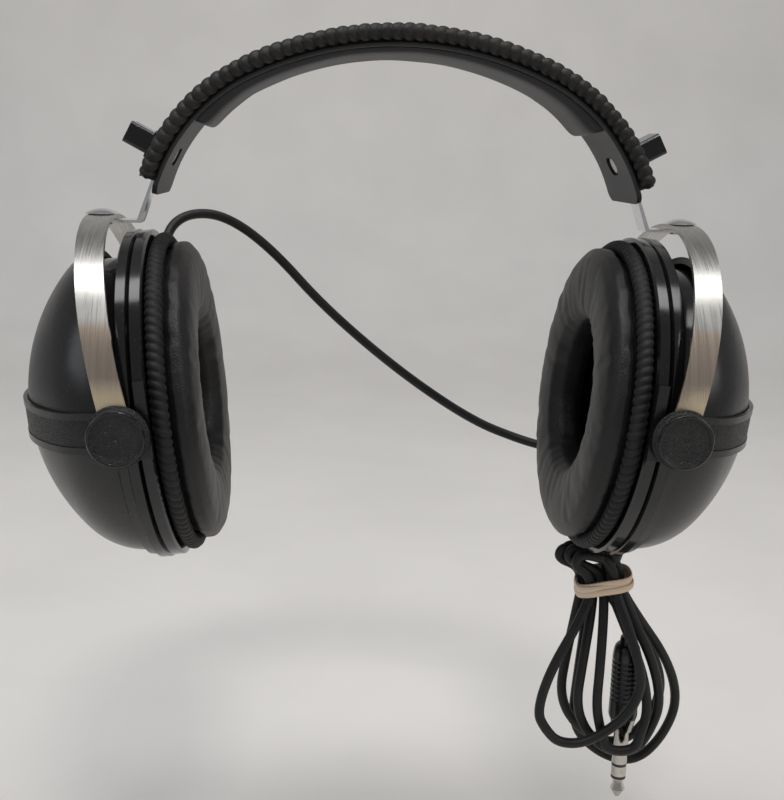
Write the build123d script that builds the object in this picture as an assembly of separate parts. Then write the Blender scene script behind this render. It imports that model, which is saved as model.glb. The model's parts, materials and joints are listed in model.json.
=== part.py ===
from build123d import *
from math import asin, atan2, cos, hypot, pi, radians, sin, tan
import os

# Stereo headphones, in millimetres. +X is the wearer's left, +Y is the back, +Z is up.
# The origin is the middle of the crown pad's underside, where the band rests on a head.

# headband: a flat crown arc that runs into a tighter arc at each side
TOP_Z = 9.5                 # outer edge of the lacing above the crown pad's underside
CROWN_R = 128.0
SIDE_R = 70.4
CROWN_ANGLE = 25.4          # where the crown arc meets the side arc, from the vertical
END_ANGLE = 70.8            # where the band ends
LACE_R = 2.75
LACE_Y = 21.6
COVER_CROWN = 1.2           # how far the cover stands above the lacing in the middle
SPRING_DEPTH = (0.75, 1.35)
GUIDE_DEPTH = (1.4, 5.2)
LINER_DEPTH = (1.45, 5.7, 7.5)
LINER_HALF = (18.4, 21.2)
LINER_ROUND = 0.85
LINER_TONGUE = 4.0           # degrees the liner runs on past the end of the band
TONGUE_ROUND = 6.0
PAD_END_ANGLE = 48.0
PAD_END_DEPTH = 12.5
PAD_HALF = 19.0

# slider strip, which is part of a circle about the side arc's centre
STRIP_DEPTH = (2.8, 3.8)
STRIP_HALF = 5.5
STRIP_TAIL_ANGLE = 36.0
SLIDER_TRAVEL = 16.0        # degrees about the side arc's centre, 19 mm along the band
KNOB_ANGLE = 62.0
KNOB_LONG = 8.0
KNOB_WIDE = 15.0
KNOB_TALL = 9.0

# yoke and cup
PIVOT_X = 92.8
PIVOT_Z = -125.0
YOKE_RISE = 67.3            # pivot axis to the top of the yoke
YOKE_REACH = 64.8           # pivot axis to the outside of each leg, front to back
YOKE_LEG = 12.0             # straight part of each leg above the pivot axis
YOKE_SHEET = 1.2
YOKE_FOOT = 6.5
YOKE_HALF = 4.75
YOKE_SLANT = 0.219          # how far a leg moves inwards for each millimetre down
CUP_LEAN = 6.0              # the cup's axis points this far below the horizontal
CUP_SHIFT = -4.0            # the cup's body sits this far inwards of the pivot axis, along its own axis
DOME_START = 6.0
DOME_DEPTH = 40.0
DOME_R = 58.5
DOME_RIM_R = 28.0           # the dome's outline is two tangent arcs
DOME_POLE_R = 72.76
POLE_FLAT_R = 2.0           # small flat at the pole, under the trim band
DOME_WALL = 2.5
BELT_START = 8.5            # where the trim band over the dome begins, along the cup's axis
BELT_HALF = 7.0
FLANGE_R = 60.5
RING_R = 61.7
RING_BORE = 50.0
CUSHION_FACE = -21.0
EAR_R = 28.0
PIVOT_R = 2.0
HOLE_GAP = 0.06             # running clearance round a pin
CAP_R = 9.5

# cord, hank and plug
CORD_R = 2.0
GLAND_DROP = 6.0
GLAND_X = 5.0
TIE_Z = -201.0
TIE_X = 88.5
LINK_GLAND_X = -3.4
LINK_ROUTE = [
    (-90.8, 41.4, -75.0), (-91.4, 48.2, -67.0), (-83, 56.5, -59.8), (-68, 62.5, -61),
    (-49, 67.5, -75), (-26, 72, -101), (8, 75, -130), (42, 77, -153), (64, 76.5, -161.6),
    (76.5, 71.5, -164.1), (81.6, 63.0, -160.6), (82.0, 55.7, -156.3),
]
PLUG_X = 100.0
PLUG_Y = 2.0
PLUG_TOP = -226.0
HANDLE_R = 6.0
PLUG_R = 3.175

RIVET_X = PIVOT_X + YOKE_SLANT * YOKE_RISE
CROWN_CENTRE = (0.0, TOP_Z - CROWN_R)
_step = CROWN_R - SIDE_R
SIDE_CENTRE = (_step * sin(radians(CROWN_ANGLE)), CROWN_CENTRE[1] + _step * cos(radians(CROWN_ANGLE)))

os.makedirs("parts", exist_ok=True)


def save(name, shape):
    shape.label = name
    export_step(shape, f"parts/{name}.step")


def both(name, shape):
    """Write the wearer's left piece as made and the right one as its mirror image."""
    save(f"{name}_left", shape)
    save(f"{name}_right", mirror(shape, about=Plane.YZ))


def band_point(angle, depth):
    """The point at this angle from the vertical, this far in from the band's outer edge."""
    side = 1 if angle >= 0 else -1
    a = radians(abs(angle))
    centre, radius = (CROWN_CENTRE, CROWN_R) if abs(angle) <= CROWN_ANGLE else (SIDE_CENTRE, SIDE_R)
    return (side * (centre[0] + (radius - depth) * sin(a)), 0, centre[1] + (radius - depth) * cos(a))


def turn_profile(profile, centre, radius, start, stop):
    """Sweep a profile, drawn as y across and depth inwards, round one arc of the band."""
    a = radians(start)
    plane = Plane(origin=(centre[0], 0, centre[1]), x_dir=(0, 1, 0), z_dir=(cos(a), 0, -sin(a)))
    face = plane * (Pos(0, radius) * profile)
    return revolve(face, Axis((centre[0], 0, centre[1]), (0, 1, 0)), stop - start)


def side_sweep(profile, start, stop):
    return turn_profile(profile, SIDE_CENTRE, SIDE_R, start, stop)


def band_sweep(profile, stop):
    """Sweep a profile over the whole band, to this angle at each side."""
    side = side_sweep(profile, CROWN_ANGLE, stop)
    crown = turn_profile(profile, CROWN_CENTRE, CROWN_R, -CROWN_ANGLE, CROWN_ANGLE)
    return crown + side + mirror(side, about=Plane.YZ)


def strip_profile(depths, half, y=0.0):
    """A flat section between two depths, with square edges."""
    return Pos(y, -(depths[0] + depths[1]) / 2) * Rectangle(2 * half, depths[1] - depths[0])


def radial_pin(angle, depths, radius):
    """A round pin that stands square to the band, between two depths."""
    a = radians(angle)
    low = band_point(angle, max(depths))
    plane = Plane(origin=low, z_dir=(sin(a), 0, cos(a)))
    return extrude(plane * Circle(radius), abs(depths[1] - depths[0]))


def radial_block(angle, depths, across_y, along, round_off):
    """A rectangular block that stands square to the band."""
    a = radians(angle)
    low = band_point(angle, max(depths))
    plane = Plane(origin=low, x_dir=(0, 1, 0), z_dir=(sin(a), 0, cos(a)))
    section = plane * RectangleRounded(across_y, along, round_off)
    return extrude(section, abs(depths[1] - depths[0]))


def across(point):
    """The same point at the other side of the band."""
    return (-point[0], point[1], point[2])


def mirror_pair(shape):
    return shape + mirror(shape, about=Plane.YZ)


# ---- headband ----
def cover_profile():
    edge = 18.6
    top = ThreePointArc((-edge, -0.1), (0, COVER_CROWN), (edge, -0.1))
    rest = Polyline((edge, -0.1), (edge, -0.7), (-edge, -0.7), (-edge, -0.1))
    return make_face([top, rest])


def liner_profile():
    lower = Pos(0, -(LINER_DEPTH[1] + LINER_DEPTH[2]) / 2)
    return lower * RectangleRounded(2 * LINER_HALF[1], LINER_DEPTH[2] - LINER_DEPTH[1], LINER_ROUND)


def tongue_corners():
    """What rounds the four corners of the liner's ends."""
    a = radians(END_ANGLE + LINER_TONGUE)
    low = band_point(END_ANGLE + LINER_TONGUE, 12)
    plane = Plane(origin=low, x_dir=(0, 1, 0), z_dir=(sin(a), 0, cos(a)))
    centre = LINER_HALF[1] - TONGUE_ROUND
    corner = Pos(centre + 5, TONGUE_ROUND - 5) * Rectangle(10, 10)
    corner -= Pos(centre, TONGUE_ROUND) * Circle(TONGUE_ROUND)
    both_sides = corner + mirror(corner, about=Plane.YZ)
    return mirror_pair(extrude(plane * both_sides, 9))


def make_headband():
    screw_ways = mirror_pair(radial_pin(KNOB_ANGLE, (-6, 6), 1.6))
    save("outer_cover", band_sweep(cover_profile(), END_ANGLE) - screw_ways)
    save("spring_band", band_sweep(strip_profile(SPRING_DEPTH, 15.0), END_ANGLE - 1) - screw_ways)
    for name, side in (("front", -1), ("rear", 1)):
        rope = Pos(side * LACE_Y, -LACE_R) * Circle(LACE_R)
        save(f"edge_lacing_{name}", band_sweep(rope, END_ANGLE + 0.5))
    pocket = side_sweep(strip_profile((1.0, GUIDE_DEPTH[1] + 0.05), 9.1), STRIP_TAIL_ANGLE - 2, 80)
    access = radial_block(KNOB_ANGLE, (4, 12), 11.0, 7.0, 3.4)
    upper = band_sweep(strip_profile((LINER_DEPTH[0], LINER_DEPTH[1] + 0.1), LINER_HALF[0]), END_ANGLE)
    liner = upper + band_sweep(liner_profile(), END_ANGLE + LINER_TONGUE)
    save("inner_liner", liner - mirror_pair(pocket) - mirror_pair(access) - tongue_corners())
    end = band_point(PAD_END_ANGLE, LINER_DEPTH[2] + 0.05)
    turn = band_point(CROWN_ANGLE, LINER_DEPTH[2] + 0.05)
    half = band_point((PAD_END_ANGLE + CROWN_ANGLE) / 2, LINER_DEPTH[2] + 0.05)
    low = band_point(PAD_END_ANGLE, PAD_END_DEPTH)
    edges = [
        ThreePointArc(across(turn), (0, 0, TOP_Z - LINER_DEPTH[2] - 0.05), turn),
        ThreePointArc(turn, half, end),
        Line(end, low),
        ThreePointArc(low, (0, 0, 0), across(low)),
        Line(across(low), across(end)),
        ThreePointArc(across(end), across(half), across(turn)),
    ]
    pad = extrude(make_face(edges), PAD_HALF, dir=(0, 1, 0), both=True)
    save("crown_pad", pad)


def make_adjuster():
    guide = side_sweep(strip_profile(GUIDE_DEPTH, 9.0), 50.0, END_ANGLE)
    slot = side_sweep(strip_profile((2.45, 4.15), STRIP_HALF + 0.35), 49.0, END_ANGLE + 1)
    screw_way = radial_pin(KNOB_ANGLE, (0, 6), 1.52)
    both("slider_guide", guide - slot - screw_way)
    base = radial_block(KNOB_ANGLE, (0.5, -2.2), KNOB_WIDE + 2.4, KNOB_LONG + 2.4, 1.6)
    cover_under = side_sweep(strip_profile((-COVER_CROWN - 0.02, 3), 12), 48, 68)
    block = radial_block(KNOB_ANGLE, (-2.2, -2.2 - KNOB_TALL), KNOB_WIDE, KNOB_LONG, 1.4)
    knob = base - cover_under + block
    both("adjuster_knob", knob - radial_pin(KNOB_ANGLE, (3, -7), 1.52))
    shank = radial_pin(KNOB_ANGLE, (GUIDE_DEPTH[1] + 0.2, -6.8), 1.5)
    head = radial_pin(KNOB_ANGLE, (GUIDE_DEPTH[1] + 1.7, GUIDE_DEPTH[1] + 0.1), 2.9)
    both("knob_screw", shank + head)


# ---- slider strip and yoke ----
def make_slider():
    strip = side_sweep(strip_profile(STRIP_DEPTH, STRIP_HALF), STRIP_TAIL_ANGLE, END_ANGLE)
    window = side_sweep(
        strip_profile((2, 5), 1.9), KNOB_ANGLE - SLIDER_TRAVEL - 1.9, KNOB_ANGLE + 1.9
    )
    tongue_z = PIVOT_Z + YOKE_RISE - YOKE_SHEET - 0.6
    outer = band_point(END_ANGLE, STRIP_DEPTH[0])
    inner = band_point(END_ANGLE, STRIP_DEPTH[1])
    a = radians(END_ANGLE)
    drop = (inner[2] - tongue_z + 1.0) / sin(a)
    foot_in = (inner[0] + drop * cos(a), 0, tongue_z - 1.0)
    corner = (foot_in[0] + 1.25, 0, tongue_z)
    tip = (RIVET_X + 4.4, 0, tongue_z)
    leg = Polyline(
        outer, inner, foot_in, (tip[0], 0, tip[2] - 1.0), tip, corner, outer, close=False
    )
    bent = extrude(make_face(leg), STRIP_HALF, dir=(0, 1, 0), both=True)
    pin_way = Pos(RIVET_X, 0, tongue_z - 1) * Cylinder(3.0, 6)
    both("slider_strip", strip - window + bent - pin_way)
    top = PIVOT_Z + YOKE_RISE
    pin = Pos(RIVET_X, 0, top - 1.75) * Cylinder(2.98, 3.9)
    ball = Pos(RIVET_X, 0, top + 2.0 - 11.6) * Sphere(11.6)
    head = ball & (Pos(RIVET_X, 0, top + 0.1 + 2) * Cylinder(6.8, 4))
    tail = Pos(RIVET_X, 0, tongue_z - 1.05 - 0.4) * Cylinder(4.4, 0.8)
    both("yoke_rivet", pin + head + tail)


def make_yoke():
    rise = YOKE_RISE - YOKE_LEG
    rim = Ellipse(YOKE_REACH, rise) - Ellipse(YOKE_REACH - YOKE_SHEET, rise - YOKE_SHEET)
    arch = Pos(0, YOKE_LEG) * (rim & (Pos(0, 50) * Rectangle(200, 100)))
    leg_y = YOKE_REACH - YOKE_SHEET / 2
    leg = YOKE_LEG + YOKE_FOOT
    for side in (-1, 1):
        arch += Pos(side * leg_y, YOKE_LEG + 0.1 - leg / 2) * Rectangle(YOKE_SHEET, leg)
    flat = extrude(Plane.YZ * arch, YOKE_HALF, both=True)
    slanted = flat.transform_geometry(Matrix([[1, 0, YOKE_SLANT, 0], [0, 1, 0, 0], [0, 0, 1, 0]]))
    yoke = Pos(PIVOT_X, 0, PIVOT_Z) * slanted
    pivots = Pos(PIVOT_X, 0, PIVOT_Z) * Rot(90, 0, 0) * Cylinder(PIVOT_R + HOLE_GAP, 200)
    yoke -= pivots
    yoke -= Pos(RIVET_X, 0, PIVOT_Z + YOKE_RISE) * Cylinder(2.98 + HOLE_GAP, 8)
    both("yoke", yoke)


# ---- cup, drawn with its axis along +X and the pivot axis along Y, then leaned and placed ----
def place_pivot(shape):
    """Place a piece drawn round the pivot axis."""
    return Pos(PIVOT_X, 0, PIVOT_Z) * Rot(0, CUP_LEAN, 0) * shape


def place(shape):
    """Place a piece of the cup's body."""
    return place_pivot(Pos(CUP_SHIFT, 0, 0) * shape)


def ring(points):
    """A solid of revolution about the cup's axis from (along, radius) points."""
    return revolve(make_face(Polyline(*points, close=True)), Axis.X, 360)


def dome_edges(extra):
    """The dome's outline from its rim to its pole, larger all over by extra, as two tangent arcs."""
    rim_centre = (DOME_START, DOME_R - DOME_RIM_R)
    pole_centre = (DOME_START + DOME_DEPTH - DOME_POLE_R, 0)
    reach = DOME_POLE_R - DOME_RIM_R
    turn = atan2(rim_centre[1] - pole_centre[1], rim_centre[0] - pole_centre[0])
    assert abs(hypot(rim_centre[0] - pole_centre[0], rim_centre[1]) - reach) < 0.1

    def on(centre, radius, angle):
        return (centre[0] + (radius + extra) * cos(angle), centre[1] + (radius + extra) * sin(angle))

    rim, pole = DOME_RIM_R, DOME_POLE_R
    meet = on(rim_centre, rim, turn)
    side = ThreePointArc(on(rim_centre, rim, pi / 2), on(rim_centre, rim, (pi / 2 + turn) / 2), meet)
    flat = asin(POLE_FLAT_R / (pole + extra))
    tip = on(pole_centre, pole, flat)
    crown = ThreePointArc(meet, on(pole_centre, pole, turn / 2), tip)
    return [side, crown, Line(tip, (tip[0], 0))]


def dome_face(inner, outer):
    """The section between two outlines of the dome."""
    far, near = dome_edges(outer), dome_edges(inner)
    ends = [Line(far[-1] @ 1, near[-1] @ 1), Line(far[0] @ 0, near[0] @ 0)]
    return make_face(far + near + ends)


def arch_strip(inner, outer, start, half):
    """A strip over the dome from front to back, in the plane of its axis, as high as twice half."""
    arch = dome_face(inner, outer)
    arch += mirror(arch, about=Plane.XZ)
    arch -= Rectangle(2 * start, 200)
    return extrude(arch, half, both=True)


def slab(x0, x1, z0, z1, y0=-90.0, y1=90.0):
    return Pos((x0 + x1) / 2, (y0 + y1) / 2, (z0 + z1) / 2) * Box(x1 - x0, y1 - y0, z1 - z0)


def pivot_way(along):
    """The way of the pivot screws, at this place along the axis."""
    return Pos(along, 0, 0) * Rot(90, 0, 0) * Cylinder(PIVOT_R + 0.01, 150)


def recess():
    """The wedge that lets the yoke nest into the top of the dome's edge."""
    wedge = make_face(Polyline((3.4, 8), (7.2, 8), (18.5, 66), (3.4, 66), close=True))
    return extrude(Plane.XZ * wedge, 80, both=True)


def make_cup_shells():
    rim = [(3.5, 53.5), (3.5, FLANGE_R), (DOME_START + 0.5, FLANGE_R - 0.4), (7.5, 57.9), (7.5, 53.5)]
    flange = Polyline(*rim, close=True)
    section = dome_face(-DOME_WALL, 0) + make_face(flange)
    shell = Rot(-90, 0, 0) * revolve(section, Axis.X, 360)
    both("cup_shell", place(shell - recess() - pivot_way(-CUP_SHIFT)))
    both("trim_band", place(arch_strip(0.02, 1.5, BELT_START, BELT_HALF) - arch_strip(0.8, 2, 13, 4.6)))
    both("band_insert", place(arch_strip(0.82, 1.25, 13.1, 4.5)))
    outer = ring(
        [(-1, RING_BORE), (-1, 60.2), (-0.4, RING_R), (2.8, RING_R), (3.45, 60.8), (3.45, 52), (19, 52),
         (19, RING_BORE)]
    )
    both("clamp_ring", place(outer - pivot_way(-CUP_SHIFT)))
    inner = ring(
        [(-5.8, RING_BORE), (-5.8, 60.2), (-5.2, 61.2), (-1.8, 61.2), (-1.05, 60.2), (-1.05, RING_BORE)]
    )
    both("cushion_ring", place(inner))


def make_cup_insides():
    plate = ring([(-1, 0), (-1, RING_BORE), (1.5, RING_BORE), (1.5, 0)])
    for count, radius, hole in ((1, 0, 2.2), (6, 8.0, 2.2), (12, 16.0, 2.2), (8, 37.0, 3.5)):
        for k in range(count):
            plate -= Rot(k * 360 / count, 0, 0) * (Pos(0, 0, radius) * Rot(0, 90, 0) * Cylinder(hole, 8))
    both("baffle_plate", place(plate))
    frame = ring(
        [(1.55, 24.5), (1.55, 29), (3.2, 29), (3.2, 26), (13, 15), (13, 12.6), (11.6, 12.6), (11.6, 14.2),
         (2.4, 24.5)]
    )
    both("driver_frame", place(frame))
    cone = ring([(2.0, 23.6), (2.6, 23.6), (9.8, 8.4), (9.8, 0), (9.2, 0), (9.2, 8.0)])
    both("driver_cone", place(cone))
    magnet = ring([(11.7, 0), (11.7, 12.4), (13.05, 12.4), (13.05, 16), (22, 16), (22, 0)])
    both("driver_magnet", place(magnet))
    foam = ring([(26, 0), (26, 40), (31, 38), (31, 0)])
    both("damping_foam", place(foam))
    both("cushion_welt", place(revolve(Pos(-8.95, 56.8) * Circle(3.0), Axis.X, 360)))
    pad = ring(
        [(-5.9, 31), (-5.9, 53.4), (-12.2, 53.4), (-13, 56.4), (-17.5, 56.2), (CUSHION_FACE + 0.6, 51),
         (CUSHION_FACE, 45), (CUSHION_FACE, 37), (CUSHION_FACE + 1, 31.5), (-16.5, EAR_R), (-9, EAR_R)]
    )
    both("ear_cushion", place(pad))


def make_pivots():
    """Blocks, screws and caps, each a front and a rear solid in one node."""
    drum = Rot(0, 90, 0) * Cylinder(RING_R + 0.05, 60)
    block = slab(-6.4, 8, -9, 6, -62.9, -55) + slab(-10, -6.4, -9, 17, -62.9, -55)
    block = block - drum - pivot_way(0)
    screw = Rot(90, 0, 0) * (Pos(0, 0, 60.2) * Cylinder(PIVOT_R, 10.4))
    screw += Rot(90, 0, 0) * (Pos(0, 0, 66.3) * Cylinder(3.6, 1.8))
    cap = Rot(90, 0, 0) * (Pos(0, 0, 65.9) * Cylinder(10.3, 1.2))
    cap += Rot(90, 0, 0) * (Pos(0, 0, 68.2) * Cylinder(CAP_R, 3.4))
    cap -= Rot(90, 0, 0) * (Pos(0, 0, 66.2) * Cylinder(3.62, 2.05))
    for name, shape in (("pivot_blocks", block), ("pivot_screws", screw), ("pivot_caps", cap)):
        both(name, place_pivot(Compound([shape, mirror(shape, about=Plane.XZ)])))


# ---- cord, hank and plug, all carried by the left cup ----
def make_cord():
    bottom = FLANGE_R + GLAND_DROP
    seat = DOME_R + 0.1
    gland = Pos(GLAND_X, 0, -(bottom + seat - 1) / 2) * Cone(3.1, 4.6, bottom - seat + 1)
    flange = FLANGE_R + 0.05
    gland -= ring([(-1, 0), (-1, flange), (3.55, flange), (3.55, seat), (20, seat), (20, 0)])
    save("cord_gland", place_pivot(gland))
    neck = place_pivot(Pos(GLAND_X, 0, -(bottom + 3.5)) * Cylinder(CORD_R, 7))
    outline = Polyline(
        (79, 0, -197), (68, 0, -189), (83, 0, -190), (97, 0, -197), (103, 0, -208),
        (122, 0, -236), (128, 0, -258), (122, 0, -276), (104, 0, -286), (76, 0, -278),
        (59, 0, -262), (63, 0, -238), (79, 0, -206), close=True,
    )
    body = Pos(0, PLUG_Y, 0) * extrude(make_face(outline), 10, dir=(0, 1, 0), both=True)
    plug_way = Pos(PLUG_X, PLUG_Y, PLUG_TOP - 60 + 0.6) * Cylinder(HANDLE_R + 1.2, 120)
    waist = Pos(TIE_X, PLUG_Y, TIE_Z)
    tie_way = waist * (Box(60, 60, 9) - Box(19.6, 15, 9))
    hank = body - plug_way - tie_way
    hank = hank.solids().sort_by(SortBy.VOLUME)[-1] + neck
    save("cord_hank", hank)
    save("rubber_band_tie", waist * (Box(22.6, 18, 8.4) - Box(19.8, 15.2, 9)))


def ring_drum():
    """What lies inside the two rings' outlines, to seat a gland on them."""
    return ring([(-9, 0), (-9, 61.2), (-1.2, 61.2), (-1.2, RING_R + 0.05), (9, RING_R + 0.05), (9, 0)])


def make_link():
    """The lead between the cups, with its gland on each cushion ring."""
    for name, angle, side in (("right", 50, -1), ("left", -30, 1)):
        a = radians(angle)
        foot = Plane(origin=(LINK_GLAND_X, 60.0 * cos(a), 60.0 * sin(a)), z_dir=(0, cos(a), sin(a)))
        gland = place(foot * Pos(0, 0, 2.2) * Cone(3.4, 2.7, 4.4) - ring_drum())
        save(f"link_gland_{name}", gland if side > 0 else mirror(gland, about=Plane.YZ))
    radii = []
    for a, b, c in zip(LINK_ROUTE, LINK_ROUTE[1:], LINK_ROUTE[2:]):
        run_in, run_out = Vector(*b) - Vector(*a), Vector(*c) - Vector(*b)
        half_turn = radians(run_in.get_angle(run_out)) / 2
        radii.append(0.45 * min(run_in.length, run_out.length) / tan(half_turn))
    print("link cord radii", [round(r, 1) for r in radii])
    path = FilletPolyline(*LINK_ROUTE, radius=radii)
    start = Plane(origin=path @ 0, z_dir=path % 0)
    cord = sweep(start * Circle(CORD_R), path=path)
    print("link cord length", round(path.length, 1), "and", round(cord.volume / (pi * CORD_R**2), 1))
    save("link_cord", cord)


def at(top, height):
    """Where the middle of a plug piece of this height goes, to hang from this level."""
    return Pos(PLUG_X, PLUG_Y, top - height / 2)


def make_plug():
    handle = at(PLUG_TOP, 36) * Cylinder(HANDLE_R, 36)
    save("plug_handle", chamfer(handle.edges().filter_by(GeomType.CIRCLE), 1.0))
    top = PLUG_TOP - 36
    save("plug_collar", at(top, 6) * Cone(4.2, 5.6, 6))
    top -= 6
    sleeve = at(top, 15) * Cylinder(PLUG_R, 15)
    save("plug_sleeve", sleeve)
    top -= 15
    washer = Cylinder(PLUG_R - 0.2, 1.2)
    save("plug_insulators", Compound([at(top, 1.2) * washer, at(top - 5.7, 1.2) * washer]))
    save("plug_ring", at(top - 1.2, 4.5) * Cylinder(PLUG_R, 4.5))
    top -= 6.9
    neck = at(top, 2.2) * Cone(2.0, PLUG_R, 2.2)
    ball = at(top - 2.2, 3.2) * Cone(PLUG_R - 0.1, 2.0, 3.2)
    nose = at(top - 5.4, 3.6) * Cone(1.0, PLUG_R - 0.1, 3.6)
    save("plug_tip", neck + ball + nose)


make_headband()
make_adjuster()
make_slider()
make_yoke()
make_cup_shells()
make_cup_insides()
make_pivots()
make_cord()
make_link()
make_plug()
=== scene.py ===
import json
from math import cos, pi, radians, sin

import bmesh
import bpy
from mathutils import Matrix, Vector, noise


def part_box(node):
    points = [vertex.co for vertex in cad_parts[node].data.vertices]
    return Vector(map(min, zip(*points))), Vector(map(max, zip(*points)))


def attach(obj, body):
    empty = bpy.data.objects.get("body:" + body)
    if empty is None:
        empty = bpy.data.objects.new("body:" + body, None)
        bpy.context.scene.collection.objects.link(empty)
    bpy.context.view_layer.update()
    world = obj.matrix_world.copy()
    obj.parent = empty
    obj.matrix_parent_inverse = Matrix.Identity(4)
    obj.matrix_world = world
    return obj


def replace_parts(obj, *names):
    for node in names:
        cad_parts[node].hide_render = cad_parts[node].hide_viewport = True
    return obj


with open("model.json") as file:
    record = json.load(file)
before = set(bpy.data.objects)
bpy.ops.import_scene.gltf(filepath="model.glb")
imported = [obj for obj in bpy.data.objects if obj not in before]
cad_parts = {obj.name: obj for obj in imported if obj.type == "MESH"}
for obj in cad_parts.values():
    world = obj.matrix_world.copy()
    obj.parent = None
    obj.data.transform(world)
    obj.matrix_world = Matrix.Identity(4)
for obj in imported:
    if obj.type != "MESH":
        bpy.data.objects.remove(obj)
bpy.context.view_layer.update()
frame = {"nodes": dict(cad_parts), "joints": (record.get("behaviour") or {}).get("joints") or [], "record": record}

MM = 0.001
SIDES = {"left": 1, "right": -1}
NODES = frame["nodes"]
JOINTS = {j["name"]: j for j in frame["joints"]}


# ------------------------------------------------------------ the frame's own measures
PIVOT = Vector(JOINTS["tilt_left"]["pos_m"])
SIDE_CENTRE = Vector(JOINTS["extend_left"]["pos_m"])
CUP_LEAN = radians(6.0)
CUP_SHIFT = -4.0 * MM
CROWN_R = 128.0 * MM
SIDE_R = 70.4 * MM
CROWN_ANGLE = radians(25.4)
END_ANGLE = radians(70.8)
CROWN_CENTRE_Z = 9.5 * MM - CROWN_R
LACE_R = 2.75 * MM
LACE_Y = 21.6 * MM
CORD_R = 2.0 * MM


def band_point(angle, depth, y=0.0):
    """A point of the band at this angle from the vertical, this far in from its outer edge."""
    side = 1 if angle >= 0 else -1
    a = abs(angle)
    if a <= CROWN_ANGLE:
        return Vector((side * (CROWN_R - depth) * sin(a), y, CROWN_CENTRE_Z + (CROWN_R - depth) * cos(a)))
    r = SIDE_R - depth
    return Vector((side * (SIDE_CENTRE.x + r * sin(a)), y, SIDE_CENTRE.z + r * cos(a)))


def pivot_matrix(side):
    """From a frame on the pivot, cup's axis along +X and pivot axis along Y, to the row frame."""
    place = Matrix.Translation(PIVOT) @ Matrix.Rotation(CUP_LEAN, 4, "Y")
    return place if side > 0 else Matrix.Scale(-1, 4, (1, 0, 0)) @ place


def cup_matrix(side):
    """From the cup body's own frame to the row frame."""
    return pivot_matrix(side) @ Matrix.Translation((CUP_SHIFT, 0, 0))


# ------------------------------------------------------------ materials
def node_setup(name):
    """A new material with its shader and the coordinates in metres that its textures use."""
    mat = bpy.data.materials.new(name)
    mat.use_nodes = True
    nodes, links = mat.node_tree.nodes, mat.node_tree.links
    shader = nodes["Principled BSDF"]
    coords = nodes.new("ShaderNodeTexCoord")
    return mat, nodes, links, shader, coords.outputs["Object"]


def noise_node(nodes, links, coords, scale, detail=3.0, stretch=(1, 1, 1)):
    """Noise at this scale, finer along an axis whose stretch is larger."""
    spread = nodes.new("ShaderNodeMapping")
    spread.inputs["Scale"].default_value = stretch
    links.new(coords, spread.inputs["Vector"])
    tex = nodes.new("ShaderNodeTexNoise")
    tex.inputs["Scale"].default_value = scale
    tex.inputs["Detail"].default_value = detail
    links.new(spread.outputs["Vector"], tex.inputs["Vector"])
    return tex.outputs["Fac"]


def cell_node(nodes, links, coords, scale):
    """The distance to the nearest edge of a net of cells."""
    tex = nodes.new("ShaderNodeTexVoronoi")
    tex.feature = "DISTANCE_TO_EDGE"
    tex.inputs["Scale"].default_value = scale
    links.new(coords, tex.inputs["Vector"])
    return tex.outputs["Distance"]


def ramp(nodes, links, value, low, high, start=0.0, end=1.0):
    """A number driven between two values by a texture."""
    mapped = nodes.new("ShaderNodeMapRange")
    mapped.inputs["From Min"].default_value = start
    mapped.inputs["From Max"].default_value = end
    mapped.inputs["To Min"].default_value = low
    mapped.inputs["To Max"].default_value = high
    links.new(value, mapped.inputs["Value"])
    return mapped.outputs["Result"]


def tint(nodes, links, value, dark, light):
    """A colour that wanders between two shades."""
    mix = nodes.new("ShaderNodeValToRGB")
    mix.color_ramp.elements[0].position = 0.35
    mix.color_ramp.elements[0].color = (*dark, 1)
    mix.color_ramp.elements[1].position = 0.65
    mix.color_ramp.elements[1].color = (*light, 1)
    links.new(value, mix.inputs["Fac"])
    return mix.outputs["Color"]


def bump(nodes, links, shader, layers):
    """Stack bumps, each a (height, strength, distance), into the shader's normal."""
    last = None
    for height, strength, distance in layers:
        node = nodes.new("ShaderNodeBump")
        node.inputs["Strength"].default_value = strength
        node.inputs["Distance"].default_value = distance
        links.new(height, node.inputs["Height"])
        if last is not None:
            links.new(last, node.inputs["Normal"])
        last = node.outputs["Normal"]
    links.new(last, shader.inputs["Normal"])


def leather(name, dark, light, rough, grain, depth, sheen=0.0):
    """Grained vinyl or leatherette: pores between small cells over a slow change of shade."""
    mat, nodes, links, shader, coords = node_setup(name)
    shader.inputs["Specular IOR Level"].default_value = 0.32
    cells = cell_node(nodes, links, coords, grain)
    fine = noise_node(nodes, links, coords, 2600)
    wide = noise_node(nodes, links, coords, 45)
    links.new(tint(nodes, links, wide, dark, light), shader.inputs["Base Color"])
    links.new(ramp(nodes, links, wide, rough - 0.07, rough + 0.09), shader.inputs["Roughness"])
    pores = ramp(nodes, links, cells, 0, 1, 0, 0.22)
    bump(nodes, links, shader, [(pores, 0.5, depth), (fine, 0.18, depth / 2)])
    if sheen:
        shader.inputs["Sheen Weight"].default_value = sheen
    return mat


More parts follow.
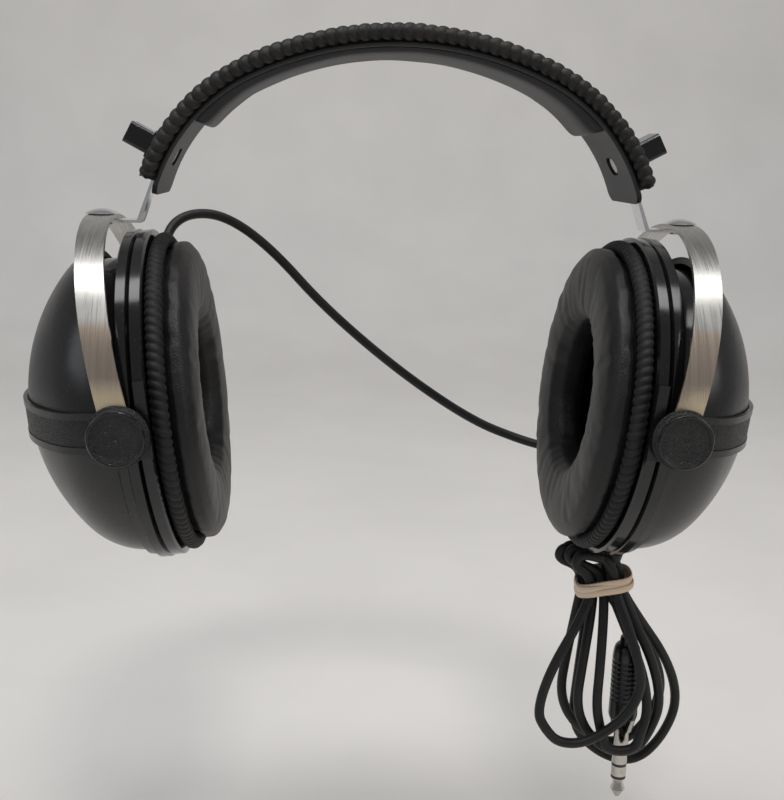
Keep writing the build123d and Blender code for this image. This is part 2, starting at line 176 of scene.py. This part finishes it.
def plastic(name, dark, light, rough, spread=0.05, dust=0.25):
    """Moulded plastic with handling marks, fine scratches and a trace of dust."""
    mat, nodes, links, shader, coords = node_setup(name)
    wide = noise_node(nodes, links, coords, 28, 4)
    scratch = noise_node(nodes, links, coords, 220, 5, (1, 9, 1.5))
    specks = noise_node(nodes, links, coords, 1500, 2)
    dusty = nodes.new("ShaderNodeMix")
    dusty.data_type = "RGBA"
    links.new(ramp(nodes, links, specks, 0, dust, 0.66, 0.8), dusty.inputs["Factor"])
    links.new(tint(nodes, links, wide, dark, light), dusty.inputs["A"])
    dusty.inputs["B"].default_value = (0.22, 0.21, 0.2, 1)
    links.new(dusty.outputs["Result"], shader.inputs["Base Color"])
    uneven = nodes.new("ShaderNodeMath")
    uneven.operation = "ADD"
    links.new(ramp(nodes, links, wide, rough - spread, rough + spread, 0.3, 0.7), uneven.inputs[0])
    links.new(ramp(nodes, links, scratch, 0, 0.07, 0.6, 0.75), uneven.inputs[1])
    links.new(uneven.outputs["Value"], shader.inputs["Roughness"])
    bump(nodes, links, shader, [(wide, 0.25, 0.0002), (scratch, 0.1, 0.00002)])
    return mat


def grained_plastic(name, dark, light, rough, grain, depth):
    """Moulded plastic or board with a coarse texture of raised cells."""
    mat, nodes, links, shader, coords = node_setup(name)
    shader.inputs["Specular IOR Level"].default_value = 0.38
    cells = cell_node(nodes, links, coords, grain)
    wide = noise_node(nodes, links, coords, 60)
    links.new(tint(nodes, links, wide, dark, light), shader.inputs["Base Color"])
    links.new(ramp(nodes, links, cells, rough + 0.15, rough - 0.05, 0, 0.3), shader.inputs["Roughness"])
    bump(nodes, links, shader, [(ramp(nodes, links, cells, 0, 1, 0, 0.25), 0.9, depth)])
    return mat


def metal(name, dark, light, rough, brushed=(1, 1, 1), scale=400, strength=0.12, spots=0.0):
    """Bare or plated metal, with fine lines and, where spots is over 0, tarnish."""
    mat, nodes, links, shader, coords = node_setup(name)
    shader.inputs["Metallic"].default_value = 1.0
    lines = noise_node(nodes, links, coords, scale, 4, brushed)
    wide = noise_node(nodes, links, coords, 40, 3)
    colour = tint(nodes, links, wide, dark, light)
    if spots:
        pits = noise_node(nodes, links, coords, 420, 4)
        mix = nodes.new("ShaderNodeMix")
        mix.data_type = "RGBA"
        links.new(ramp(nodes, links, pits, 0, spots, 0.62, 0.74), mix.inputs["Factor"])
        links.new(colour, mix.inputs["A"])
        mix.inputs["B"].default_value = (0.2, 0.17, 0.13, 1)
        colour = mix.outputs["Result"]
    links.new(colour, shader.inputs["Base Color"])
    links.new(ramp(nodes, links, lines, rough - 0.06, rough + 0.1, 0.3, 0.7), shader.inputs["Roughness"])
    bump(nodes, links, shader, [(lines, strength, 0.00004)])
    return mat


def yoke_metal():
    """Steel brushed across the strip, painted warm beige below a level a little above the pivot as a painted
    reflection, with old yellowed residue low on the legs.
    """
    mat, nodes, links, shader, coords = node_setup("yoke_steel")
    lines = noise_node(nodes, links, coords, 2600, 3, (1, 0.015, 0.015))
    wide = noise_node(nodes, links, coords, 55, 4)
    split = nodes.new("ShaderNodeSeparateXYZ")
    links.new(coords, split.inputs["Vector"])
    # Below a level a little above the pivot the strip is painted warm beige: a painted reflection, not residue.
    painted_reflection_mask = ramp(nodes, links, split.outputs["Z"], 1, 0, PIVOT.z + 0.034, PIVOT.z + 0.037)
    steel_with_painted_reflection = nodes.new("ShaderNodeMix")
    steel_with_painted_reflection.data_type = "RGBA"
    links.new(painted_reflection_mask, steel_with_painted_reflection.inputs["Factor"])
    links.new(tint(nodes, links, wide, (0.4, 0.39, 0.37), (0.47, 0.46, 0.44)), steel_with_painted_reflection.inputs["A"])
    # The warm beige colour of the painted reflection.
    steel_with_painted_reflection.inputs["B"].default_value = (0.47, 0.385, 0.315, 1)
    low = ramp(nodes, links, split.outputs["Z"], 1, 0, PIVOT.z + 0.011, PIVOT.z + 0.019)
    patch = nodes.new("ShaderNodeMath")
    patch.operation = "MULTIPLY"
    links.new(low, patch.inputs[0])
    links.new(ramp(nodes, links, wide, 0.2, 1, 0.35, 0.5), patch.inputs[1])
    mix = nodes.new("ShaderNodeMix")
    mix.data_type = "RGBA"
    links.new(patch.outputs["Value"], mix.inputs["Factor"])
    links.new(steel_with_painted_reflection.outputs["Result"], mix.inputs["A"])
    mix.inputs["B"].default_value = (0.55, 0.46, 0.31, 1)
    links.new(mix.outputs["Result"], shader.inputs["Base Color"])
    links.new(ramp(nodes, links, patch.outputs["Value"], 1.0, 0.1), shader.inputs["Metallic"])
    links.new(ramp(nodes, links, lines, 0.24, 0.38, 0.3, 0.7), shader.inputs["Roughness"])
    bump(nodes, links, shader, [(lines, 0.12, 0.00002)])
    return mat


def cloth_material(name, dark, light, rough, scale):
    """A dull fibrous or rubbery surface with a faint sheen."""
    mat, nodes, links, shader, coords = node_setup(name)
    shader.inputs["Specular IOR Level"].default_value = 0.3
    fibres = noise_node(nodes, links, coords, scale, 4, (1, 1, 3))
    wide = noise_node(nodes, links, coords, 90)
    links.new(tint(nodes, links, wide, dark, light), shader.inputs["Base Color"])
    links.new(ramp(nodes, links, fibres, rough - 0.1, rough + 0.1), shader.inputs["Roughness"])
    bump(nodes, links, shader, [(fibres, 0.6, 0.00018)])
    shader.inputs["Sheen Weight"].default_value = 0.05
    return mat


def plain(name, base, rough):
    """A plain painted surface, for the floor."""
    mat, nodes, links, shader, coords = node_setup(name)
    wide = noise_node(nodes, links, coords, 8)
    light = tuple(min(1, c * 1.05) for c in base)
    links.new(tint(nodes, links, wide, base, light), shader.inputs["Base Color"])
    shader.inputs["Roughness"].default_value = rough
    return mat


MATS = {
    "cover_vinyl": leather(
        "cover_vinyl", (0.008, 0.008, 0.009), (0.013, 0.013, 0.014), 0.34, 1100, 0.00006,
    ),
    "lacing_cord": leather(
        "lacing_cord", (0.006, 0.0055, 0.005), (0.015, 0.0135, 0.012), 0.46, 1500, 0.00008,
    ),
    "liner_leatherette": leather(
        "liner_leatherette", (0.013, 0.013, 0.014), (0.02, 0.02, 0.021), 0.48, 1300, 0.00006, 0.05,
    ),
    "spring_steel": metal("spring_steel", (0.25, 0.26, 0.3), (0.35, 0.36, 0.4), 0.35),
    "chrome_plate": metal(
        "chrome_plate", (0.72, 0.72, 0.72), (0.82, 0.82, 0.83), 0.12, (1, 1, 1), 300, 0.05, 0.5,
    ),
    "yoke_steel": yoke_metal(),
    "gloss_black": plastic(
        "gloss_black", (0.004, 0.004, 0.0045), (0.007, 0.007, 0.0075), 0.13, 0.04, 0.2,
    ),
    "satin_black": plastic(
        "satin_black", (0.006, 0.006, 0.006), (0.01, 0.01, 0.0105), 0.3, 0.06, 0.3,
    ),
    "grain_black": grained_plastic(
        "grain_black", (0.006, 0.006, 0.006), (0.012, 0.012, 0.012), 0.38, 1050, 0.0002,
    ),
    "cushion_leatherette": leather(
        "cushion_leatherette", (0.006, 0.0055, 0.0055), (0.011, 0.01, 0.01), 0.42, 1000, 0.00012, 0.03,
    ),
    "welt_braid": cloth_material(
        "welt_braid", (0.005, 0.005, 0.005), (0.013, 0.012, 0.012), 0.6, 1400,
    ),
    "guide_nylon": plastic("guide_nylon", (0.6, 0.58, 0.5), (0.68, 0.66, 0.6), 0.45),
    "screw_steel": metal("screw_steel", (0.4, 0.4, 0.4), (0.52, 0.52, 0.5), 0.3),
    "baffle_board": grained_plastic(
        "baffle_board", (0.012, 0.012, 0.012), (0.02, 0.02, 0.02), 0.7, 1400, 0.0001,
    ),
    "cone_paper": cloth_material("cone_paper", (0.09, 0.085, 0.08), (0.13, 0.12, 0.11), 0.8, 900),
    "frame_steel": metal("frame_steel", (0.35, 0.35, 0.35), (0.45, 0.45, 0.44), 0.35),
    "magnet_ferrite": grained_plastic(
        "magnet_ferrite", (0.06, 0.06, 0.06), (0.09, 0.09, 0.09), 0.6, 1500, 0.00008,
    ),
    "damping_felt": cloth_material("damping_felt", (0.3, 0.3, 0.29), (0.42, 0.42, 0.4), 0.9, 700),
    "cord_rubber": cloth_material(
        "cord_rubber", (0.005, 0.005, 0.005), (0.01, 0.01, 0.01), 0.46, 900,
    ),
    "tie_rubber": plastic("tie_rubber", (0.64, 0.49, 0.35), (0.78, 0.63, 0.47), 0.5, 0.06, 0.1),
    "plug_nickel": metal(
        "plug_nickel", (0.46, 0.44, 0.41), (0.56, 0.54, 0.5), 0.15, (1, 1, 6), 500, 0.08, 0.5,
    ),
    "plug_insulation": plastic("plug_insulation", (0.02, 0.02, 0.02), (0.03, 0.03, 0.03), 0.4),
}


for part in frame["record"]["subparts"]:
    obj = NODES[part["node"]]
    obj.data.materials.clear()
    obj.data.materials.append(MATS[part["material_slot"]])


# ------------------------------------------------------------ mesh helpers
def new_mesh(name, verts, faces, material):
    """A smooth-shaded mesh object with its faces turned outward."""
    mesh = bpy.data.meshes.new(name)
    mesh.from_pydata([tuple(v) for v in verts], [], faces)
    mesh.update()
    bm = bmesh.new()
    bm.from_mesh(mesh)
    bmesh.ops.recalc_face_normals(bm, faces=bm.faces)
    bm.to_mesh(mesh)
    bm.free()
    for poly in mesh.polygons:
        poly.use_smooth = True
    obj = bpy.data.objects.new(name, mesh)
    bpy.context.scene.collection.objects.link(obj)
    mesh.materials.append(MATS[material])
    return obj


def grid_faces(rows, columns, close_rows, close_columns):
    """The quads of a grid of points, joined round at either edge on request."""
    faces = []
    for i in range(rows if close_rows else rows - 1):
        for j in range(columns if close_columns else columns - 1):
            a, b = i * columns + j, i * columns + (j + 1) % columns
            c, d = ((i + 1) % rows) * columns + (j + 1) % columns, ((i + 1) % rows) * columns + j
            faces.append((a, b, c, d))
    return faces


def capped(faces, rows, columns):
    """Close the two ends of an open tube."""
    return faces + [tuple(range(columns))[::-1], tuple((rows - 1) * columns + j for j in range(columns))]


def lathe(name, profile, material, matrix, steps=96):
    """Turn a closed (along, radius) outline, in millimetres, round the cup's own X axis direction."""
    verts = []
    for k in range(steps):
        a = 2 * pi * k / steps
        verts += [matrix @ Vector((s * MM, r * MM * cos(a), r * MM * sin(a))) for s, r in profile]
    return new_mesh(name, verts, grid_faces(steps, len(profile), True, True), material)


def tube(name, sections, material, closed=False):
    """A skin over rings of points, closed round on itself or capped at its ends."""
    count, ring = len(sections), len(sections[0])
    verts = [point for section in sections for point in section]
    faces = grid_faces(count, ring, closed, True)
    if not closed:
        faces = capped(faces, count, ring)
    return new_mesh(name, verts, faces, material)


# ------------------------------------------------------------ laced edges of the band
def lacing(name, y, seed):
    """Whip-stitched lacing: a rope whose wraps lie side by side and lean over the edge."""
    side = 1 if y > 0 else -1
    length = 2 * (CROWN_R * CROWN_ANGLE + SIDE_R * (END_ANGLE - CROWN_ANGLE))
    pitch = 3.9 * MM
    wraps = round(length / pitch)
    per_wrap, around = 12, 28
    rows = wraps * per_wrap
    sections = []
    half_crown = CROWN_R * CROWN_ANGLE
    last_angle = END_ANGLE + 0.01
    for k in range(rows + 1):
        t = k / rows
        along = (t - 0.5) * length
        if abs(along) <= half_crown:
            angle = along / CROWN_R
        else:
            angle = (1 if along > 0 else -1) * (CROWN_ANGLE + (abs(along) - half_crown) / SIDE_R)
        angle = max(-last_angle, min(last_angle, angle))
        centre = band_point(angle, LACE_R, y)
        outward = Vector((sin(angle), 0, cos(angle)))
        tangent = Vector((cos(angle), 0, -sin(angle)))
        across = Vector((0, side, 0))
        end = min(k, rows - k) / (per_wrap * 0.8)
        shrink = 1 if end >= 1 else (1 - (1 - end) ** 2) ** 0.5
        ring = []
        for j in range(around):
            phi = 2 * pi * j / around
            lean = 0.33 * sin(phi)
            u = k / per_wrap + lean
            wrap = int(u // 1)
            local = u - wrap
            wobble = noise.noise(Vector((wrap * 3.7, seed, 0.3)))
            swell = abs(sin(pi * local)) ** 0.55
            radius = LACE_R * (0.74 + 0.32 * swell + 0.08 * wobble) * max(shrink, 0.02)
            slip = tangent * (0.25 * MM * noise.noise(Vector((wrap * 1.9, seed, phi))))
            ring.append(centre + outward * (radius * cos(phi)) + across * (radius * 1.02 * sin(phi)) + slip)
        sections.append(ring)
    piece = tube(name, sections, "lacing_cord")
    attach(piece, "headband")
    return piece


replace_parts(lacing("lacing_front", -LACE_Y, 1.0), "edge_lacing_front")
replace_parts(lacing("lacing_rear", LACE_Y, 2.0), "edge_lacing_rear")


# ------------------------------------------------------------ crown pad
def crown_pad():
    """The padded insert under the crown, soft at its edges and ends."""
    half_angle, half_y, outer_depth = radians(48), 19.0 * MM, 7.6 * MM
    along, across = 96, 28
    verts = []
    for skin in (0, 1):
        for i in range(along + 1):
            a = half_angle * (2 * i / along - 1)
            for j in range(across + 1):
                y = half_y * (2 * j / across - 1)
                edge = (1 - abs(y / half_y) ** 5) ** 0.4 * (1 - abs(a / half_angle) ** 30) ** 0.4
                thick = (1.9 + 2.7 * (a / half_angle) ** 2) * MM
                ripple = 0.2 * MM * noise.noise(Vector((a * 9, y * 60, 4.0)))
                depth = outer_depth + skin * (0.25 * MM + (thick + ripple) * edge)
                verts.append(band_point(a, depth, y))
    n = across + 1
    size = (along + 1) * n
    faces = []
    for i in range(along):
        for j in range(across):
            quad = (i * n + j, i * n + j + 1, (i + 1) * n + j + 1, (i + 1) * n + j)
            faces += [quad, tuple(size + v for v in reversed(quad))]
    rim = [j for j in range(n)] + [i * n + across for i in range(1, along + 1)]
    rim += [along * n + j for j in range(across - 1, -1, -1)] + [i * n for i in range(along - 1, 0, -1)]
    for a, b in zip(rim, rim[1:] + rim[:1]):
        faces.append((a, b, size + b, size + a))
    piece = new_mesh("crown_pad_soft", verts, faces, "liner_leatherette")
    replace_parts(piece, "crown_pad")
    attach(piece, "headband")


crown_pad()


# ------------------------------------------------------------ cushions and welts
def ring_skin(name, profile, steps, material, shape):
    """A closed ring about the X axis from a closed (along, radius) profile, each point moved by shape."""
    verts = []
    for k in range(steps):
        a = 2 * pi * k / steps
        for s, r in profile:
            s, r = shape(s, r, a)
            verts.append(Vector((s * MM, r * MM * cos(a), r * MM * sin(a))))
    return new_mesh(name, verts, grid_faces(steps, len(profile), True, True), material)


def rounded(points, per_edge=6, passes=2):
    """Subdivide a closed outline and round its corners by averaging."""
    out = []
    for (s0, r0), (s1, r1) in zip(points, points[1:] + points[:1]):
        out += [(s0 + (s1 - s0) * t / per_edge, r0 + (r1 - r0) * t / per_edge) for t in range(per_edge)]
    for _ in range(passes):
        n = len(out)
        out = [
            tuple((out[k - 1][c] + 2 * out[k][c] + out[(k + 1) % n][c]) / 4 for c in (0, 1))
            for k in range(n)
        ]
    return out


CUSHION = [(-6.1, 31), (-6.1, 53.2), (-12.3, 53.4), (-13.2, 56.0), (-17, 55.8), (-20.2, 51.5),
           (-20.8, 44), (-20.8, 38), (-20, 32), (-16, 28.6), (-9, 28.4)]
HELD_BEHIND = -9.5 * MM
SWELL_LIMIT = 1.2 * MM


def swell(obj, keep, limit):
    """Let the cover fill out under pressure, then cap how far any point has moved."""
    start = [v.co.copy() for v in obj.data.vertices]
    group = obj.vertex_groups.new(name="held")
    for v in obj.data.vertices:
        group.add([v.index], keep(v.co), "REPLACE")
    cloth = obj.modifiers.new("Cloth", "CLOTH")
    cloth.settings.use_pressure = True
    cloth.settings.uniform_pressure_force = 3.0
    cloth.settings.effector_weights.gravity = 0
    cloth.settings.vertex_group_mass = "held"
    cloth.point_cache.frame_end = 20
    scene = bpy.context.scene
    for number in range(1, 21):
        scene.frame_set(number)
    posed = obj.evaluated_get(bpy.context.evaluated_depsgraph_get())
    moved = [v.co.copy() for v in posed.data.vertices]
    obj.modifiers.remove(cloth)
    for v, old, new in zip(obj.data.vertices, start, moved):
        step = new - old
        if step.length > limit:
            step = step.normalized() * limit
        v.co = old + step
    scene.frame_set(1)


def crease(s, r, a):
    """Soft radial creases where the cover is gathered round the cushion."""
    facing = max(0.0, min(1.0, (-8 - s) / 6))
    near_welt = max(0.0, 1 - abs(r - 55) / 7)
    fold = noise.noise(Vector((cos(a) * 9, sin(a) * 9, r * 0.06)))
    fine = noise.noise(Vector((cos(a) * 26, sin(a) * 26, s * 0.15)))
    depth = facing * (0.55 * fold + 0.35 * near_welt * fine)
    return s + depth * 0.6, r + depth * 0.5


def held_back(point):
    """Full hold on the part of the cushion that sits on its ring, none on the part that swells."""
    return 1.0 if point.x > HELD_BEHIND else 0.0


def cushion(side):
    """The ear cushion's cover, swelled and set on its cup."""
    name = f"ear_cushion_cover_{side}"
    piece = ring_skin(name, rounded(CUSHION), 260, "cushion_leatherette", crease)
    swell(piece, held_back, SWELL_LIMIT)
    piece.data.transform(cup_matrix(SIDES[side]))
    if SIDES[side] < 0:
        piece.data.flip_normals()
    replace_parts(piece, f"ear_cushion_{side}")
    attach(piece, f"cup_{side}")


def welt(side):
    """Ruched piping: a soft tube gathered into short uneven pleats."""
    centre_s, centre_r, tube_r = -8.95, 56.8, 2.85
    pleats, per, around = 118, 8, 18
    rows = pleats * per
    sections = []
    matrix = cup_matrix(SIDES[side])
    for k in range(rows):
        a = 2 * pi * k / rows
        ring = []
        for j in range(around):
            phi = 2 * pi * j / around
            u = k / per + 0.35 * sin(phi)
            pleat = int(u // 1) % pleats
            wobble = noise.noise(Vector((pleat * 2.3, 0.7, 1.1)))
            radius = tube_r * (0.8 + 0.24 * abs(sin(pi * (u % 1))) ** 0.6 + 0.06 * wobble)
            s = centre_s + radius * sin(phi)
            r = centre_r + radius * cos(phi)
            ring.append(matrix @ Vector((s * MM, r * MM * cos(a), r * MM * sin(a))))
        sections.append(ring)
    piece = tube(f"welt_{side}", sections, "welt_braid", closed=True)
    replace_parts(piece, f"cushion_welt_{side}")
    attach(piece, f"cup_{side}")


for cup_side in SIDES:
    cushion(cup_side)
    welt(cup_side)


# ------------------------------------------------------------ pivot caps and their rims
CAP = [(65.3, 4.0), (65.3, 10.2), (65.6, 10.4), (66.3, 10.4), (66.5, 10.1), (66.5, 9.6), (69.2, 9.5),
       (69.8, 9.2), (70.0, 8.7), (69.9, 8.3), (69.5, 8.1), (69.5, 6.0), (69.5, 4.0), (69.5, 2.0),
       (69.5, 0.01), (65.3, 0.01)]
CAP_RIM = [(69.55, 9.45), (69.9, 9.2), (70.05, 8.75), (69.9, 8.35), (69.5, 8.25)]


def pivot_caps(side):
    """The grained disc and glossy rim at each end of the cup's pivot axis."""
    for end, turn in (("front", -90), ("rear", 90)):
        matrix = pivot_matrix(SIDES[side]) @ Matrix.Rotation(radians(turn), 4, "Z")
        disc = lathe(f"pivot_cap_{end}_{side}", CAP, "grain_black", matrix)
        rim = lathe(f"pivot_cap_rim_{end}_{side}", CAP_RIM, "gloss_black", matrix)
        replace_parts(disc, f"pivot_caps_{side}")
        for piece, slot in ((disc, "grain_black"), (rim, "gloss_black")):
            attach(piece, f"cup_{side}")


for cup_side in SIDES:
    pivot_caps(cup_side)


# ------------------------------------------------------------ cords
def spline_cord(name, points, radius):
    """A cord as one NURBS line with the points of its route as control points."""
    curve = bpy.data.curves.new(name, "CURVE")
    curve.dimensions = "3D"
    spline = curve.splines.new("NURBS")
    spline.points.add(len(points) - 1)
    for point, (x, y, z) in zip(spline.points, points):
        point.co = (x * MM, y * MM, z * MM, 1)
    spline.order_u = 3
    spline.use_endpoint_u = True
    spline.resolution_u = 8
    curve.bevel_depth = radius
    curve.bevel_resolution = 5
    curve.use_fill_caps = True
    obj = bpy.data.objects.new(name, curve)
    bpy.context.scene.collection.objects.link(obj)
    curve.materials.append(MATS["cord_rubber"])
    return obj


LINK_ROUTE = [
    (-90.8, 41.4, -75.0), (-91.4, 48.2, -67.0), (-83, 56.5, -59.8), (-68, 62.5, -61),
    (-49, 67.5, -75), (-26, 72, -101), (8, 75, -130), (42, 77, -153), (64, 76.5, -161.6),
    (76.5, 71.5, -164.1), (81.6, 63.0, -160.6), (82.0, 55.7, -156.3),
]
link = spline_cord("link_lead", LINK_ROUTE, CORD_R)
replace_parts(link, "link_cord")
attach(link, "cup_left")

# Each turn of the hank: where its right and left strands pass the tie (x, y), its right belly, bottom and
# left belly (x, z), its depth y below, and the bight (x, z) over the tie to the next turn.
HANK_TURNS = [
    ((95.5, 5.0), (84.5, 7.2), (126, -258), (106, -287), (82, -266), 12.0, (75, -190)),
    ((91.5, 7.4), (80.5, 6.8), (117.5, -250), (98, -276), (75, -252), 8.0, (73, -191)),
    ((95.0, 0.8), (84.5, 3.2), (112.5, -250), (98, -272.5), (78.5, -250), -6.3, (76, -190)),
    ((91.0, 3.4), (88.0, 0.0), (107, -252), (97, -271), (86, -250), -8.5, (79, -190.5)),
    ((92.0, -3.4), (82.5, -2.2), (102, -240), (76, -265), (61, -250), -12.5, (78, -191)),
]
TIE_Z = -201.0


def hank_points(exit_point, plug_top):
    """The hank's route: out of the gland, round each hanging turn, then down to the plug."""
    ex, ey, ez = exit_point
    points = [(ex, ey, ez), (ex + 1.0, ey + 1.4, ez - 3)]
    for right, left, belly_r, low, belly_l, depth, bight in HANK_TURNS:
        if len(points) > 2:
            points.append((right[0] - 4.5, right[1], bight[1] - 0.5))
        points.append((right[0] - 1, right[1], TIE_Z + 4))
        for waist, belly, order in ((right, belly_r, (0, 1, 2, 3, 4)), (left, belly_l, (4, 3, 2, 1, 0))):
            wx, wy = waist
            bx, bz = belly
            strand = [
                (wx, wy, TIE_Z - 4),
                (wx + 0.3 * (bx - wx), wy + 0.5 * (depth - wy), TIE_Z + 0.32 * (bz - TIE_Z)),
                (wx + 0.82 * (bx - wx), wy + 0.9 * (depth - wy), TIE_Z + 0.7 * (bz - TIE_Z)),
                (bx + 0.04 * (bx - low[0]), depth, bz - 2),
                (bx - 0.2 * (bx - low[0]), depth, bz + 0.62 * (low[1] - bz)),
            ]
            points += [strand[k] for k in order]
            if order[0] == 0:
                points.append((low[0] + 6, depth, low[1] - 1))
                points.append((low[0] - 6, depth, low[1] - 1))
        points.append((left[0] - 2, left[1], TIE_Z + 4))
        points.append((bight[0] - 3.5, left[1] - 0.3, bight[1] - 2.5))
        points.append((bight[0] - 1.5, left[1] - 0.7, bight[1] + 2.5))
        points.append((bight[0] + 5.5, left[1] - 1, bight[1] + 1.5))
    px, py, pz = plug_top
    points += [(90.5, -1.5, -193), (89.5, 0.3, -199), (89.5, 1, -206), (94, 1.5, -212)]
    points += [(px - 0.7, py, pz + 6), plug_top]
    return points


plug_low, plug_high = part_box("plug_handle")
PLUG_TOP = ((plug_low[0] + plug_high[0]) / 2 / MM, (plug_low[1] + plug_high[1]) / 2 / MM, plug_high[2] / MM)
GLAND_X, GLAND_REACH = 5.0 * MM, 66.5 * MM
GLAND_END = pivot_matrix(1) @ Vector((GLAND_X, 0, -GLAND_REACH))
hank = spline_cord("main_cord", hank_points([c / MM for c in GLAND_END], PLUG_TOP), CORD_R)
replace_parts(hank, "cord_hank")
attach(hank, "cup_left")


# ------------------------------------------------------------ rubber band and plug
def rubber_band():
    """Three turns of a thin flat band pulled tight round the waist of the hank."""
    low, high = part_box("rubber_band_tie")
    centre = (Vector(low) + Vector(high)) / 2
    turns, per_turn, section = 3, 64, 8
    rows = turns * per_turn
    half_x, half_y = 10.9 * MM, 8.3 * MM
    sections = []
    for k in range(rows):
        a = 2 * pi * k / per_turn
        whole = k / rows
        slant = 1.7 * MM * cos(2 * pi * whole) - 2.6 * MM * max(0.0, -cos(a)) ** 2 + 1.2 * MM * cos(a - 0.5)
        out = Vector((cos(a), sin(a), 0))
        square = 1 / (abs(cos(a)) ** 3 + abs(sin(a)) ** 3) ** (1 / 3)
        jitter = 0.35 * MM * noise.noise(Vector((3 * cos(2 * pi * whole), 3 * sin(2 * pi * whole), 1)))
        point = centre + Vector((half_x * square * cos(a) - 0.5 * MM, half_y * square * sin(a), slant))
        point += out * (jitter + 0.5 * MM * sin(4 * pi * whole))
        ring = []
        for j in range(section):
            phi = 2 * pi * j / section
            ring.append(point + out * (0.5 * MM * cos(phi)) + Vector((0, 0, 1.45 * MM * sin(phi))))
        sections.append(ring)
    piece = tube("rubber_band", sections, "tie_rubber", closed=True)
    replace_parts(piece, "rubber_band_tie")
    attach(piece, "cup_left")
    return piece


def plug_handle():
    """A turned handle: cord collar, waist, ribbed grip and flared foot."""
    height = (plug_high[2] - plug_low[2]) / MM
    profile = [(0, 0.01), (0, 2.6), (0.3, 3.0), (3.0, 3.3), (3.4, 4.2), (4.4, 5.0), (6.5, 5.5), (9, 5.75)]
    ribs = 9
    for k in range(ribs):
        z = 10 + k * 2.1
        profile += [(z, 5.8), (z + 0.3, 5.55), (z + 0.8, 5.55), (z + 1.1, 5.8), (z + 1.6, 5.85)]
    profile += [(30.5, 5.9), (height - 1.2, 5.95), (height - 0.3, 5.75), (height, 5.3), (height, 0.01)]
    down = Matrix.Translation((PLUG_TOP[0] * MM, PLUG_TOP[1] * MM, plug_high[2]))
    down = down @ Matrix.Rotation(radians(90), 4, "Y")
    piece = lathe("plug_grip", profile, "satin_black", down, 64)
    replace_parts(piece, "plug_handle")
    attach(piece, "cup_left")
    return piece


tie_piece = rubber_band()
grip = plug_handle()


# ------------------------------------------------------------ stage, light and camera
def stage():
    """A pale floor that curves up into a pale wall."""
    floor_z, wall_y, bend = -0.34, 1.6, 0.5
    outline = [(-3.2, floor_z)]
    for k in range(13):
        a = pi / 2 * k / 12
        outline.append((wall_y - bend + bend * sin(a), floor_z + bend - bend * cos(a)))
    outline.append((wall_y, 2.6))
    verts = [(x, y, z) for x in (-3.2, 3.2) for y, z in outline]
    n = len(outline)
    faces = [(k, k + 1, n + k + 1, n + k) for k in range(n - 1)]
    mesh = bpy.data.meshes.new("sweep")
    mesh.from_pydata(verts, [], faces)
    obj = bpy.data.objects.new("sweep", mesh)
    for poly in mesh.polygons:
        poly.use_smooth = True
    mesh.materials.append(plain("pale_floor", (0.72, 0.7, 0.68), 0.7))
    bpy.context.scene.collection.objects.link(obj)


def area_light(name, place, aim, size, power, colour=(1, 1, 1)):
    """A soft rectangular light that the camera doesn't see."""
    data = bpy.data.lights.new(name, "AREA")
    data.shape = "RECTANGLE"
    data.size, data.size_y = size
    data.energy = power
    data.color = colour
    obj = bpy.data.objects.new(name, data)
    obj.location = place
    obj.rotation_euler = (Vector(aim) - Vector(place)).to_track_quat("-Z", "Y").to_euler()
    obj.visible_camera = False
    bpy.context.scene.collection.objects.link(obj)


def camera():
    """A camera a little to the left of the front, tipped down and slightly rolled."""
    distance, height, azimuth = 0.418, -0.034, radians(-3.9)
    pitch, roll = radians(12.5), radians(1.3)
    data = bpy.data.cameras.new("camera")
    data.lens = 50.0
    data.sensor_width = 36.0
    data.clip_start = 0.01
    obj = bpy.data.objects.new("camera", data)
    obj.location = (distance * sin(azimuth), -distance * cos(azimuth), height)
    look = Vector((-sin(azimuth) * cos(pitch), cos(azimuth) * cos(pitch), -sin(pitch)))
    aim = look.to_track_quat("-Z", "Y").to_matrix()
    obj.rotation_euler = (aim @ Matrix.Rotation(roll, 3, "Z")).to_euler()
    bpy.context.scene.collection.objects.link(obj)
    bpy.context.scene.camera = obj


stage()
area_light("key", (0.05, -0.75, 0.98), (0, 0, -0.09), (0.26, 0.12), 3.6, (1.0, 0.98, 0.95))
area_light("fill", (0.95, -0.55, 0.35), (0, 0, -0.1), (0.6, 0.6), 2.4, (1.0, 0.95, 0.9))
area_light("left", (-0.95, -0.45, 0.4), (0, 0, -0.1), (0.6, 0.6), 1.6, (0.93, 0.97, 1.0))
area_light("wall", (0, -0.1, 1.25), (0, 0.45, -0.1), (1.5, 0.5), 13)
world = bpy.data.worlds.new("world")
world.use_nodes = True
world.node_tree.nodes["Background"].inputs["Color"].default_value = (0.9, 0.92, 0.95, 1)
world.node_tree.nodes["Background"].inputs["Strength"].default_value = 0.3
bpy.context.scene.world = world
bpy.context.scene.view_settings.view_transform = "Standard"
camera()
